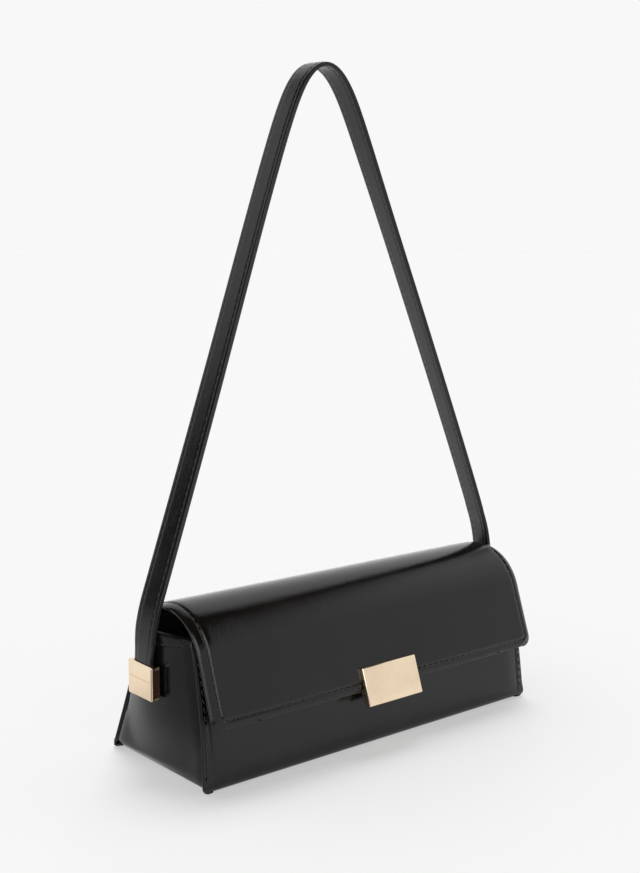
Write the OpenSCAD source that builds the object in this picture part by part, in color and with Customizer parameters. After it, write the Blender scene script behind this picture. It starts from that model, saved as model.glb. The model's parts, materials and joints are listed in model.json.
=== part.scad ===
// Shoulder bag with a long body, an arched flap with a metal lock, and one
// strap carried by two metal side blocks.
// X runs along the bag, the flap's front faces -Y, Z is up.
// The origin is the middle of the underside.

/* [Body] */
// Length over the stitched side flanges
body_l = 260; // [220:1:320]
// Depth of the base, front to back
base_d = 97; // [85:1:110]
// Height of the front wall
front_h = 82; // [76:0.5:83]
// How far the front wall leans in at its top
front_inset = 13; // [10:0.5:16]
// Outward bow of the front wall
front_bow = 1.9; // [0:0.1:3]
// Lean of the back wall, depth per height
back_rate = 0.385; // [0.34:0.005:0.42]
// Width of the stitched side flange
flange_w = 4; // [3:0.5:6]

/* [Leather and lining] */
// Thickness of the wall leather
leather_t = 1.4; // [1:0.1:1.8]
// Thickness of the front and back stiffening board
wall_board_t = 1; // [0.8:0.1:1.2]
// Thickness of the base board
base_board_t = 1.6; // [1:0.1:2.5]
// Thickness of the lining cloth
lining_t = 0.7; // [0.5:0.1:1]

/* [Gussets] */
// Thickness of the padding behind the gusset leather
gusset_pad_t = 2.6; // [2.6:0.1:3.4]
// How far the gusset is pulled out at the side block
bump_h = 10; // [7:0.5:12]
// Radius of the pulled out area
bump_r = 41; // [38:1:46]
// Radius of its flat top
bump_flat_r = 15.8; // [15.8:0.1:18]
// Height of the gusset rim's ends above the front wall
rim_over = 1.5; // [-2:0.5:2]
// Dip of the rim below its ends, in its middle
rim_dip = 1.6; // [0:0.1:4]
// Depth of the rim binding
binding_w = 5; // [4:0.5:7]
// Thickness of the rim binding
binding_t = 0.8; // [0.6:0.1:1]

/* [Flap] */
// How far each end of the flap reaches past the side flanges
flap_over = 0; // [-10:0.5:0]
// Height of the flap's lower edge
flap_edge_z = 38.4; // [36:0.2:42]
// How far the flap's lower edge stands in front of the front wall
flap_stand = 12.1; // [11.8:0.1:13.5]
// Lean of the flap's front
flap_lean = 19.3; // [18.5:0.1:20]
// Radius of the flap's shoulder
shoulder_r = 33.8; // [32:0.2:35]
// Height of the flap's top above the front wall
roof_room = 18; // [17.5:0.5:20]
// Fall of the roof towards the back
roof_pitch = 16.7; // [14:0.5:18]
// Thickness of the flap leather
flap_leather_t = 1.4; // [1:0.1:1.6]
// Thickness of the flap board
flap_board_t = 0.8; // [0.6:0.1:1]
// Thickness of the flap lining
flap_lining_t = 0.8; // [0.6:0.1:1]
// Margin between the flap board and the flap's edge
flap_margin = 8; // [6:0.5:12]
// Radius of the flap's lower corners
flap_corner_r = 6; // [3:0.5:10]
// Radius of the folded edge that the flap turns on
fold_r = 0.7; // [0.5:0.05:0.8]
// Room that the layered parts leave around the fold
fold_room = 1.65; // [1.4:0.05:2.5]

/* [Lock] */
// Width of the lock plate
plate_w = 43.4; // [40:0.2:50]
// Height of the lock plate
plate_h = 23.4; // [22:0.2:27]
// Thickness of the lock plate
plate_t = 3.2; // [2.8:0.1:4]
// Middle of the lock plate above the flap's edge
plate_rise = 2; // [1:0.1:3]
// Width of the bevel around the lock plate
plate_bevel = 0.8; // [0.4:0.1:1.2]
// Width of the lock body behind the flap
lock_w = 36; // [32:0.5:39]
// Thickness of the lock body behind the flap
lock_t = 3.4; // [3:0.1:3.6]
// Radius of both magnets
magnet_r = 6; // [4:0.25:6.5]
// Thickness of both magnets
magnet_t = 2; // [1.2:0.1:2.2]
// Width of the keeper on the front wall
keeper_w = 26; // [22:0.5:34]
// Height of the keeper
keeper_h = 14; // [13.5:0.5:17]
// Radius of the lock screws
lock_screw_r = 1; // [0.8:0.1:1.2]
// Radius of the lock screws' heads
lock_head_r = 1.9; // [1.6:0.1:2.2]
// Thickness of the lock screws' heads
lock_head_t = 0.9; // [0.7:0.1:1.1]
// Distance of the lock screws from the lock body's ends
lock_screw_inset = 5; // [4:0.5:7]
// Height of the lock screws above the flap's edge
lock_screw_rise = 6; // [5:0.5:8]
// Metal left in front of the lock screws
lock_cover = 1.4; // [1:0.1:1.8]
// Lower end of the lock body above the plate's lower edge
lock_low_in = 1.5; // [1:0.1:2]
// Upper end of the lock body below the plate's upper edge
lock_high_in = 2; // [1:0.5:3]
// Thickness of the washer behind the keeper
washer_t = 0.8; // [0.6:0.1:1]
// Height of that washer
washer_h = 9; // [8:0.5:11]
// Width of the keeper's legs
leg_w = 4; // [3:0.5:5]
// Thickness of the keeper's legs
leg_t = 1; // [0.8:0.1:1.2]
// Distance of the legs' middles from the keeper's ends
leg_inset = 5; // [4:0.5:7]
// Width of the washer beyond the legs
washer_side = 2; // [1.5:0.5:4]

/* [Side blocks] */
// Height of the strap's turning axis
pivot_z = 56; // [54:0.5:58]
// Width of the side block
block_w = 24.4; // [22:0.2:25]
// Height of the side block
block_h = 20; // [18:0.5:21]
// Depth of the side block
block_t = 6.2; // [5.8:0.1:8]
// Bevel along the block's outer edges
block_bevel = 0.5; // [0.3:0.1:0.8]
// Depth of the groove across the block
groove_d = 0.4; // [0.2:0.1:0.6]
// Radius of the turning stud
stud_r = 2.4; // [2:0.1:2.5]
// Radius of the stud's inner head
stud_head_r = 4.6; // [4:0.1:6]
// Thickness of the stud's inner head
stud_head_t = 1; // [0.8:0.1:1.1]
// Radius of the backing plate
backing_r = 9; // [7:0.5:11]
// Thickness of the backing plate
backing_t = 1.2; // [1:0.1:1.3]
// Radius of the rivet through the strap's end
rivet_r = 1.1; // [0.8:0.1:1.3]
// Metal left in front of the rivet
rivet_cover = 0.6; // [0.4:0.1:0.8]
// Metal left in front of the stud
stud_cover = 1.8; // [1.2:0.1:2.4]
// Metal between the stud and the strap's slot
slot_floor = 0.4; // [0.3:0.1:0.8]
// Height of the groove across the block
groove_h = 0.5; // [0.4:0.1:0.8]
// Height of the groove above the turning axis
groove_up = 1; // [0:0.5:2]

/* [Strap] */
// Width of the strap
strap_w = 16.5; // [12:0.5:17]
// Thickness of the strap
strap_t = 3; // [2.6:0.1:3.2]
// Thickness of the strap's outer leather
strap_skin_t = 1.1; // [0.9:0.1:1.2]
// Thickness of the strap's core
strap_core_t = 0.9; // [0.6:0.1:1]
// Width of the strap's core
strap_core_w = 8; // [6:0.5:9]
// Height of the strap's top
strap_top_z = 406.5; // [360:0.5:460]
// Sideways place of the strap's top
strap_top_x = -12; // [-15:0.5:15]
// Radius of the bend at the strap's top
strap_top_r = 20; // [14:0.5:30]
// How far the strap's left leg bows outward
left_bow = 2.6; // [0:0.1:4]
// How high on the left leg its bow sits, 1 for halfway
left_bow_rise = 3.3; // [1:0.1:4]
// How far the strap's right leg bows outward
right_bow = 2.3; // [0:0.1:4]
// Straight start of the left leg above its block
left_start = 10; // [6:1:16]
// Lean of the left leg as it leaves its block
left_lean = 4.5; // [0:0.5:8]
// Radius of the left leg's lower bend
left_bend_r = 110; // [80:5:140]
// Straight start of the right leg above its block
right_start = 18; // [12:1:24]
// Radius of the right leg's lower bend
right_bend_r = 84; // [70:2:120]

/* [Clearances] */
// Gap between turning and standing pieces
turn_gap = 0.3; // [0.2:0.05:0.5]
// Gap around pieces set into the walls
set_gap = 0.15; // [0.1:0.05:0.2]
// Radial gap of the stud in its backing plate
bore_gap = 0.05; // [0.03:0.01:0.1]

/* [Hidden] */

// Inside line of the flanges, where the gussets stand
seam_x = body_l / 2 - flange_w;
// Slant factor of the back wall
back_k = sqrt(1 + back_rate * back_rate);
// Depths of the wall layers from the outer face
wall_in = leather_t + wall_board_t;
wall_all = wall_in + lining_t;
// Depths of the gusset layers
gus_in = leather_t + gusset_pad_t;
gus_all = gus_in + lining_t;
// Height of the compartment floor
floor_z = leather_t + base_board_t + lining_t;

// Outline of the front wall, by height
front_rows = [for (i = [0:12]) let (t = i / 12)
  [t * front_h, -base_d / 2 + front_inset * t + -4 * front_bow * t * (1 - t)]];
// Line of the front wall, carried on above its top
function front_y(z) = z > front_h
  ? -base_d / 2 + front_inset + (z - front_h) * (front_inset + 4 * front_bow) / front_h
  : lookup(z, front_rows);
function back_y(z) = base_d / 2 - back_rate * z;

// Heights at which the front wall changes direction, up to a given height
function front_zs(a, b) = concat([a], [for (r = front_rows) if (r[0] > a + 0.01
  && r[0] < b - 0.01) r[0]], [b]);

// Flap section: shoulder middle, roof end and turning axis
roof_h = front_h + roof_room;
fl_u = [sin(flap_lean), cos(flap_lean)];
fl_n = [-cos(flap_lean), sin(flap_lean)];
flap_l = body_l + 2 * flap_over;
edge_p = [front_y(flap_edge_z) - flap_stand, flap_edge_z];
fl_s = (roof_h - shoulder_r - flap_edge_z + shoulder_r * sin(flap_lean)) / cos(flap_lean);
sh_c = edge_p + fl_s * fl_u - shoulder_r * fl_n;
roof_e = sh_c + shoulder_r * [sin(roof_pitch), cos(roof_pitch)];
roof_v = (base_d / 2 - back_rate * roof_e[1] - roof_e[0])
  / (cos(roof_pitch) - back_rate * sin(roof_pitch));
hinge_p = roof_e + roof_v * [cos(roof_pitch), -sin(roof_pitch)];
flap_t = flap_leather_t + flap_board_t + flap_lining_t;
// Length of the back wall from the floor to the turning axis
back_len = hinge_p[1] * back_k;

// Side block seat and strap anchor
seat_x = seam_x + bump_h;
block_in = seat_x + turn_gap;
block_out = block_in + block_t;
strap_x = (block_in + block_out) / 2;
block_top = pivot_z + block_h / 2;
slot_z = pivot_z + stud_r + slot_floor;

// Sphere behind the pulled out area of a gusset
bump_a = ((bump_r * bump_r - bump_flat_r * bump_flat_r) / bump_h + bump_h) / 2;
bump_sr = sqrt(bump_a * bump_a + bump_flat_r * bump_flat_r);
bump_c = bump_a - bump_h;

// Draws a front to back section and runs it along X
module along_x(x0, x1) {
  translate([x0, 0, 0]) rotate([90, 0, 90]) linear_extrude(x1 - x0) children();
}

// Places a piece on the flap's front: x along, y up the face, z outward
module on_front() {
  translate([0, edge_p[0], edge_p[1]]) rotate([90 - flap_lean, 0, 0]) children();
}

// Front wall layer between two depths
module front_layer(a, b, z0, z1) {
  zs = front_zs(z0, z1);
  n = len(zs);
  polygon(concat([for (z = zs) [front_y(z) + a, z]],
    [for (i = [0:n - 1]) [front_y(zs[n - 1 - i]) + b, zs[n - 1 - i]]]));
}

// Point on the back wall: distance up the wall and depth
function back_p(s, d) = [base_d / 2 - (s * back_rate + d) / back_k,
  (s - d * back_rate) / back_k];

// Back wall layer between two depths, cut level at height z0
module back_layer(a, b, z0, s1) {
  s_a = z0 * back_k + a * back_rate;
  s_b = z0 * back_k + b * back_rate;
  polygon([back_p(s_a, a), back_p(s1, a), back_p(s1, b), back_p(s_b, b)]);
}

// Space between the walls, held off both by given depths
module between_walls(kf, kb, z0, z1) {
  zs = front_zs(z0, z1);
  polygon(concat([for (z = zs) [front_y(z) + kf, z]],
    [[back_y(z1) - kb * back_k, z1], [back_y(z0) - kb * back_k, z0]]));
}

// Height of the gusset rim at a depth
rim_h = front_h + rim_over;
rim_f = front_y(rim_h);
rim_b = back_y(rim_h);
function rim_z(y) = let (t = (y - rim_f) / (rim_b - rim_f))
  rim_h - rim_dip * 4 * t * (1 - t);

// Gusset outline below a line that lies d above the rim
module gusset_outline(kf, kb, z0, d) {
  intersection() {
    between_walls(kf, kb, z0, rim_h + 6);
    polygon(concat([[-base_d, z0 - 1]], [for (i = [-1:15])
      let (y = rim_f + (rim_b - rim_f) * i / 14) [y, rim_z(y) + d]],
      [[base_d, rim_z(rim_b) + d], [base_d, z0 - 1]]));
  }
}

// Everything inward of the left gusset's outer face, moved in by k
module gusset_half(k) {
  translate([k, 0, 0]) union() {
    translate([-seam_x, -base_d, -roof_h]) cube([seam_x, 2 * base_d, 2 * roof_h]);
    intersection() {
      translate([bump_c - seam_x, 0, pivot_z]) rotate([0, 90, 0])
        sphere(r = bump_sr, $fn = 96);
      translate([-seat_x, -bump_r - 1, pivot_z - bump_r - 1])
        cube([bump_h + 10, 2 * bump_r + 2, 2 * bump_r + 2]);
    }
  }
}

module gusset_sheet(a, b) {
  difference() {
    gusset_half(a);
    gusset_half(b);
  }
}

// Round hole along X through a gusset at the turning axis
module gusset_hole(r) {
  translate([-seat_x - 1, 0, pivot_z]) rotate([0, 90, 0])
    cylinder(r = r, h = bump_h + gus_all, $fn = 64);
}

module left_gusset() {
  color([0.08, 0.08, 0.085]) difference() {
    union() {
      intersection() {
        gusset_sheet(0, leather_t);
        along_x(-seat_x - 1, 0) gusset_outline(leather_t, leather_t, 0, 0);
      }
      along_x(-body_l / 2, -seam_x + leather_t) intersection() {
        front_layer(leather_t, 2 * leather_t, 0, front_h);
        gusset_outline(leather_t, leather_t, 0, 0);
      }
      along_x(-body_l / 2, -seam_x + leather_t) intersection() {
        back_layer(leather_t, 2 * leather_t, 0, back_len);
        gusset_outline(leather_t, leather_t, 0, 0);
      }
    }
    gusset_hole(stud_r + turn_gap);
  }
}

module left_gusset_pad() {
  k = 2 * leather_t + set_gap;
  color([0.75, 0.74, 0.7]) difference() {
    intersection() {
      gusset_sheet(leather_t, gus_in);
      along_x(-seat_x, 0) gusset_outline(k, k, floor_z, 0);
    }
    gusset_hole(backing_r + set_gap);
  }
}

module left_gusset_lining() {
  k = max(wall_all, 2 * leather_t) + set_gap;
  color([0.16, 0.16, 0.17]) intersection() {
    gusset_sheet(gus_in, gus_all);
    along_x(-seat_x, 0) gusset_outline(k, k, floor_z, 0);
  }
}

module left_rim_binding() {
  k = max(wall_all, 2 * leather_t) + set_gap;
  color([0.08, 0.08, 0.085]) difference() {
    intersection() {
      gusset_sheet(-binding_t, gus_all + binding_t);
      along_x(-seat_x - 2, 0) difference() {
        gusset_outline(k, k, floor_z, binding_t);
        gusset_outline(k - 1, k - 1, floor_z - 1, -binding_w);
      }
    }
    intersection() {
      gusset_sheet(0, gus_all);
      along_x(-seat_x - 1, 0) gusset_outline(k - 1, k - 1, floor_z, 0);
    }
  }
}

module right_gusset() { mirror([1, 0, 0]) left_gusset(); }
module right_gusset_pad() { mirror([1, 0, 0]) left_gusset_pad(); }
module right_gusset_lining() { mirror([1, 0, 0]) left_gusset_lining(); }
module right_rim_binding() { mirror([1, 0, 0]) left_rim_binding(); }

// Keeper and washer places on the front wall
keep_lo = plate_rise - keeper_h / 2;
keep_n = -flap_t - lock_t - turn_gap;
function front_pt(t, n) = edge_p + t * fl_u + n * fl_n;
keep_a = front_pt(keep_lo, keep_n);
keep_b = front_pt(keep_lo + keeper_h, keep_n);
keep_mid = (keep_a[1] + keep_b[1]) / 2;
leg_x = keeper_w / 2 - leg_inset;
washer_w = 2 * leg_x + leg_w + 2 * washer_side;

// Two legs that hold the keeper to the wall, grown by g
module keeper_legs(g) {
  for (x = [-leg_x, leg_x])
    translate([x - leg_w / 2 - g, -base_d, keep_mid - leg_t / 2 - g])
      cube([leg_w + 2 * g, base_d, leg_t + 2 * g]);
}

module front_panel() {
  color([0.08, 0.08, 0.085]) difference() {
    along_x(-body_l / 2, body_l / 2) front_layer(0, leather_t, 0, front_h);
    keeper_legs(set_gap);
  }
}

module front_board() {
  color([0.75, 0.74, 0.7]) difference() {
    along_x(-seam_x + leather_t + set_gap, seam_x - leather_t - set_gap)
      front_layer(leather_t, wall_in, leather_t, front_h);
    translate([-washer_w / 2 - set_gap, -base_d, keep_mid - washer_h / 2 - set_gap])
      cube([washer_w + 2 * set_gap, base_d, washer_h + 2 * set_gap]);
  }
}

module front_lining() {
  color([0.16, 0.16, 0.17])
    along_x(-seam_x + gus_in + set_gap, seam_x - gus_in - set_gap)
      front_layer(wall_in, wall_all, floor_z, front_h);
}

module back_panel() {
  color([0.08, 0.08, 0.085]) along_x(-body_l / 2, body_l / 2)
    back_layer(0, leather_t, 0, back_len - fold_r - turn_gap);
}

module back_board() {
  color([0.75, 0.74, 0.7])
    along_x(-seam_x + leather_t + set_gap, seam_x - leather_t - set_gap)
      back_layer(leather_t, wall_in, leather_t, back_len - fold_room - turn_gap);
}

module back_lining() {
  color([0.16, 0.16, 0.17])
    along_x(-seam_x + gus_in + set_gap, seam_x - gus_in - set_gap)
      back_layer(wall_in, wall_all, floor_z, back_len - fold_room - turn_gap);
}

module base_panel() {
  color([0.08, 0.08, 0.085]) along_x(-seam_x + leather_t, seam_x - leather_t)
    between_walls(leather_t, leather_t, 0, leather_t);
}

module base_board() {
  color([0.75, 0.74, 0.7]) along_x(-seam_x + leather_t, seam_x - leather_t)
    between_walls(wall_in, wall_in, leather_t, leather_t + base_board_t);
}

module base_lining() {
  color([0.16, 0.16, 0.17]) along_x(-seam_x + leather_t, seam_x - leather_t)
    between_walls(wall_in, wall_in, leather_t + base_board_t, floor_z);
}

module backing_plates() {
  color([0.7, 0.7, 0.72]) for (m = [0, 1]) mirror([m, 0, 0])
    translate([-seat_x + leather_t, 0, pivot_z]) rotate([0, 90, 0]) difference() {
      cylinder(r = backing_r, h = backing_t, $fn = 64);
      translate([0, 0, -1]) cylinder(r = stud_r + bore_gap, h = backing_t + 2, $fn = 64);
    }
}

module keeper_disc(r, h) {
  on_front() translate([0, plate_rise, keep_n - h]) cylinder(r = r, h = h + 1, $fn = 64);
}

module keeper() {
  color([0.86, 0.72, 0.48]) {
    difference() {
      along_x(-keeper_w / 2, keeper_w / 2) difference() {
        polygon([keep_a, keep_b, [0, keep_b[1]], [0, keep_a[1]]]);
        between_walls(0, 0, -5, front_h);
      }
      keeper_disc(magnet_r, magnet_t);
    }
    intersection() {
      keeper_legs(0);
      along_x(-keeper_w / 2, keeper_w / 2)
        front_layer(-0.5, leather_t + washer_t, keep_mid - 3, keep_mid + 3);
    }
  }
}

module keeper_magnet() {
  color([0.6, 0.6, 0.62]) on_front() translate([0, plate_rise, keep_n - magnet_t])
    cylinder(r = magnet_r, h = magnet_t, $fn = 64);
}

module keeper_washer() {
  color([0.7, 0.7, 0.72]) difference() {
    along_x(-washer_w / 2, washer_w / 2)
      front_layer(leather_t, leather_t + washer_t, keep_mid - washer_h / 2,
        keep_mid + washer_h / 2);
    keeper_legs(set_gap);
  }
}

// Point on the roof: distance forward of the turning axis and depth
function roof_p(g, k) = hinge_p + g * [-cos(roof_pitch), sin(roof_pitch)]
  - k * [sin(roof_pitch), cos(roof_pitch)];

// Line along the flap at depth k, from g before the axis to e above the edge
function flap_line(k, g, e) = concat([roof_p(g, k)],
  [for (i = [0:30]) let (a = roof_pitch - (roof_pitch + 90 - flap_lean) * i / 30)
    sh_c + (shoulder_r - k) * [sin(a), cos(a)]],
  [edge_p + e * fl_u - k * fl_n]);

module flap_layer(a, b, g, e) {
  p = flap_line(a, g, e);
  q = flap_line(b, g, e);
  n = len(q);
  polygon(concat(p, [for (i = [0:n - 1]) q[n - 1 - i]]));
}

// Rounds both lower corners of the flap
module flap_corners() {
  on_front() for (m = [0, 1]) mirror([m, 0, 0])
    translate([flap_l / 2, 0, -flap_t - 1]) linear_extrude(flap_t + 2) difference() {
      translate([-flap_corner_r, -1]) square([flap_corner_r + 1, flap_corner_r + 1]);
      translate([-flap_corner_r, flap_corner_r]) circle(r = flap_corner_r, $fn = 64);
    }
}

lock_screw_x = lock_w / 2 - lock_screw_inset;

// Shafts of the lock screws, grown by g
module screw_shafts(g, z0, z1) {
  on_front() for (x = [-lock_screw_x, lock_screw_x])
    translate([x, lock_screw_rise, z0]) cylinder(r = lock_screw_r + g, h = z1 - z0, $fn = 32);
}

module flap_leather() {
  color([0.1, 0.09, 0.088]) difference() {
    union() {
      along_x(-flap_l / 2, flap_l / 2) {
        flap_layer(0, flap_leather_t, fold_room, 0);
        polygon([roof_p(0, 0), roof_p(fold_room + 1, 0), roof_p(fold_room + 1, fold_r),
          roof_p(0, fold_r)]);
      }
      translate([-flap_l / 2, hinge_p[0], hinge_p[1]]) rotate([0, 90, 0])
        cylinder(r = fold_r, h = flap_l, $fn = 32);
    }
    flap_corners();
    screw_shafts(set_gap, -flap_t - 1, 1);
  }
}

// Section of the flap board, from depth a, which stops short of the fold
module board_layer(a) {
  difference() {
    flap_layer(a, flap_leather_t + flap_board_t, 0, flap_margin);
    translate(hinge_p) rotate(-roof_pitch) translate([-flap_margin, -roof_h])
      square([base_d, 2 * roof_h]);
  }
}

module flap_board() {
  color([0.75, 0.74, 0.7]) difference() {
    along_x(-flap_l / 2 + flap_margin, flap_l / 2 - flap_margin) board_layer(flap_leather_t);
    screw_shafts(set_gap, -flap_t - 1, 1);
  }
}

module flap_lining() {
  color([0.16, 0.16, 0.17]) difference() {
    along_x(-flap_l / 2, flap_l / 2) flap_layer(flap_leather_t, flap_t, fold_room, 0);
    along_x(-flap_l / 2 + flap_margin, flap_l / 2 - flap_margin)
      board_layer(flap_leather_t / 2);
    flap_corners();
    screw_shafts(set_gap, -flap_t - 1, 1);
  }
}

// Box with its outer edges bevelled, standing on z = 0
module bevel_box(w, h, t, b) {
  intersection() {
    rotate([90, 0, 0]) linear_extrude(h, center = true)
      polygon([[-w / 2, 0], [w / 2, 0], [w / 2, t - b], [w / 2 - b, t],
        [b - w / 2, t], [-w / 2, t - b]]);
    rotate([90, 0, 90]) linear_extrude(w, center = true)
      polygon([[-h / 2, 0], [h / 2, 0], [h / 2, t - b], [h / 2 - b, t],
        [b - h / 2, t], [-h / 2, t - b]]);
  }
}

module lock_plate() {
  color([0.86, 0.72, 0.48]) difference() {
    on_front() translate([0, plate_rise, 0]) bevel_box(plate_w, plate_h, plate_t, plate_bevel);
    screw_shafts(0, -0.1, plate_t - lock_cover);
  }
}

// Lower and upper ends of the lock body, up the flap from its edge
lock_lo = plate_rise - plate_h / 2 + lock_low_in;
lock_hi = plate_rise + plate_h / 2 - lock_high_in;

module lock_body() {
  color([0.86, 0.72, 0.48]) difference() {
    on_front() rotate([90, 0, 90]) translate([0, 0, -lock_w / 2]) linear_extrude(lock_w)
      polygon([[lock_lo, 0], [-turn_gap, 0], [-turn_gap, -flap_t], [lock_hi, -flap_t],
        [lock_hi, -flap_t - lock_t], [lock_lo, -flap_t - lock_t]]);
    on_front() translate([0, plate_rise, -flap_t - lock_t - 1])
      cylinder(r = magnet_r, h = magnet_t + 1, $fn = 64);
    screw_shafts(0, -flap_t - lock_t - 1, 1);
    screw_shafts(lock_head_r - lock_screw_r, -flap_t - lock_t - 1, -flap_t - lock_t + lock_head_t);
  }
}

module lock_magnet() {
  color([0.6, 0.6, 0.62]) on_front() translate([0, plate_rise, -flap_t - lock_t])
    cylinder(r = magnet_r, h = magnet_t, $fn = 64);
}

module lock_screws() {
  color([0.7, 0.7, 0.72]) {
    screw_shafts(0, -flap_t - lock_t + lock_head_t - 0.01, plate_t - lock_cover);
    screw_shafts(lock_head_r - lock_screw_r, -flap_t - lock_t, -flap_t - lock_t + lock_head_t);
  }
}

// Points of one strap leg, x measured outward, from its block to the strap's top:
// a straight start, a bend, a slightly bowed leg and its share of the top bend
function leg_points(top_x, h0, lean0, r1, bow, rise) = let (
  a0 = 90 + lean0,
  p0 = [strap_x - h0 * tan(lean0), block_top + h0],
  c1 = p0 + r1 * [-sin(a0), cos(a0)],
  c2 = [top_x, strap_top_z - strap_top_r],
  d = c2 - c1,
  a1 = atan2(d[1], d[0]) + asin((r1 - strap_top_r) / norm(d)),
  p1 = c1 + r1 * [sin(a1), -cos(a1)],
  p2 = c2 + strap_top_r * [sin(a1), -cos(a1)])
  concat([[strap_x, slot_z + set_gap], [strap_x, block_top]],
    [for (i = [0:6]) let (a = a0 + (a1 - a0) * i / 6) c1 + r1 * [sin(a), -cos(a)]],
    [for (i = [1:13]) let (t = i / 14, s = pow(t, rise))
      p1 + (p2 - p1) * t + [bow * 4 * s * (1 - s), 0]],
    [for (i = [0:8]) let (a = a1 + (180 - a1) * i / 8) c2 + strap_top_r * [sin(a), -cos(a)]]);

left_leg = leg_points(-strap_top_x, left_start, left_lean, left_bend_r, left_bow, left_bow_rise);
right_leg = leg_points(strap_top_x, right_start, 0, right_bend_r, right_bow, 1);
strap_pts = concat([for (p = left_leg) [-p[0], p[1]]],
  [for (i = [len(right_leg) - 2:-1:0]) right_leg[i]]);

function unit(v) = v / norm(v);
function strap_n(i) = let (n = len(strap_pts), a = unit(strap_pts[min(i + 1, n - 1)]
  - strap_pts[min(i, n - 2)]), b = unit(strap_pts[max(i, 1)] - strap_pts[max(i - 1, 0)]),
  d = unit(a + b)) [-d[1], d[0]] / (d * a);

// Band along the strap between two distances from its middle line
module strap_band(a, b) {
  n = len(strap_pts);
  polygon(concat([for (i = [0:n - 1]) strap_pts[i] + a * strap_n(i)],
    [for (i = [n - 1:-1:0]) strap_pts[i] + b * strap_n(i)]));
}

module along_y(w) {
  rotate([90, 0, 0]) linear_extrude(w, center = true) children();
}

// The rivets through both strap ends, reaching past the blocks' inner faces by e
module rivet_shafts(e) {
  for (m = [0, 1]) mirror([m, 0, 0])
    translate([-block_out + rivet_cover, 0, (slot_z + block_top) / 2]) rotate([0, 90, 0])
      cylinder(r = rivet_r, h = block_t - rivet_cover + e, $fn = 32);
}

skin_d = strap_t / 2 - strap_skin_t;
core_d = skin_d - strap_core_t;

module strap_outer() {
  color([0.09, 0.09, 0.092]) difference() {
    along_y(strap_w) strap_band(core_d + strap_core_t / 2, strap_t / 2);
    along_y(strap_core_w) strap_band(core_d, skin_d);
    rivet_shafts(1);
  }
}

module strap_inner() {
  color([0.09, 0.09, 0.092]) difference() {
    along_y(strap_w) strap_band(-strap_t / 2, core_d + strap_core_t / 2);
    along_y(strap_core_w) strap_band(core_d, skin_d);
    rivet_shafts(1);
  }
}

module strap_core() {
  color([0.75, 0.74, 0.7]) difference() {
    along_y(strap_core_w) strap_band(core_d, skin_d);
    rivet_shafts(1);
  }
}

// The turning studs through both gussets
module stud_shafts() {
  for (m = [0, 1]) mirror([m, 0, 0])
    translate([-block_out + stud_cover, 0, pivot_z]) rotate([0, 90, 0])
      cylinder(r = stud_r, h = block_t - stud_cover + turn_gap + leather_t + backing_t
        + set_gap + 0.01, $fn = 64);
}

module left_block() {
  groove_z = pivot_z + groove_up;
  color([0.86, 0.72, 0.48]) difference() {
    translate([-block_in, 0, pivot_z]) rotate([0, -90, 0])
      bevel_box(block_h, block_w, block_t, block_bevel);
    translate([-strap_x - strap_t / 2 - set_gap, -strap_w / 2 - set_gap, slot_z])
      cube([strap_t + 2 * set_gap, strap_w + 2 * set_gap, block_h]);
    difference() {
      translate([-block_out - 1, -block_w, groove_z - groove_h / 2])
        cube([block_t + 1, 2 * block_w, groove_h]);
      translate([-block_out + groove_d, -block_w / 2 + groove_d, groove_z - 1])
        cube([block_t + 5, block_w - 2 * groove_d, 2]);
    }
    stud_shafts();
    rivet_shafts(1);
  }
}

module right_block() { mirror([1, 0, 0]) left_block(); }

module pivot_studs() {
  color([0.7, 0.7, 0.72]) {
    stud_shafts();
    for (m = [0, 1]) mirror([m, 0, 0])
      translate([-seat_x + leather_t + backing_t + set_gap, 0, pivot_z]) rotate([0, 90, 0])
        cylinder(r = stud_head_r, h = stud_head_t, $fn = 64);
  }
}

module strap_rivets() {
  color([0.7, 0.7, 0.72]) rivet_shafts(0);
}

front_panel();
back_panel();
base_panel();
front_board();
back_board();
base_board();
front_lining();
back_lining();
base_lining();
left_gusset();
right_gusset();
left_gusset_pad();
right_gusset_pad();
left_gusset_lining();
right_gusset_lining();
left_rim_binding();
right_rim_binding();
backing_plates();
keeper();
keeper_magnet();
keeper_washer();
flap_leather();
flap_board();
flap_lining();
lock_plate();
lock_body();
lock_magnet();
lock_screws();
strap_outer();
strap_inner();
strap_core();
left_block();
right_block();
pivot_studs();
strap_rivets();
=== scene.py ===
"""Looks of the long shoulder bag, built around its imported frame.

Lofted leather shells, sewn linings, a swept strap, real stitches and bevelled
metal stand for the plain solids. Lengths are in millimetres until a mesh is made.
"""
import json
import math

import bmesh
import bpy
import numpy as np
from mathutils import Matrix, Vector

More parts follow.
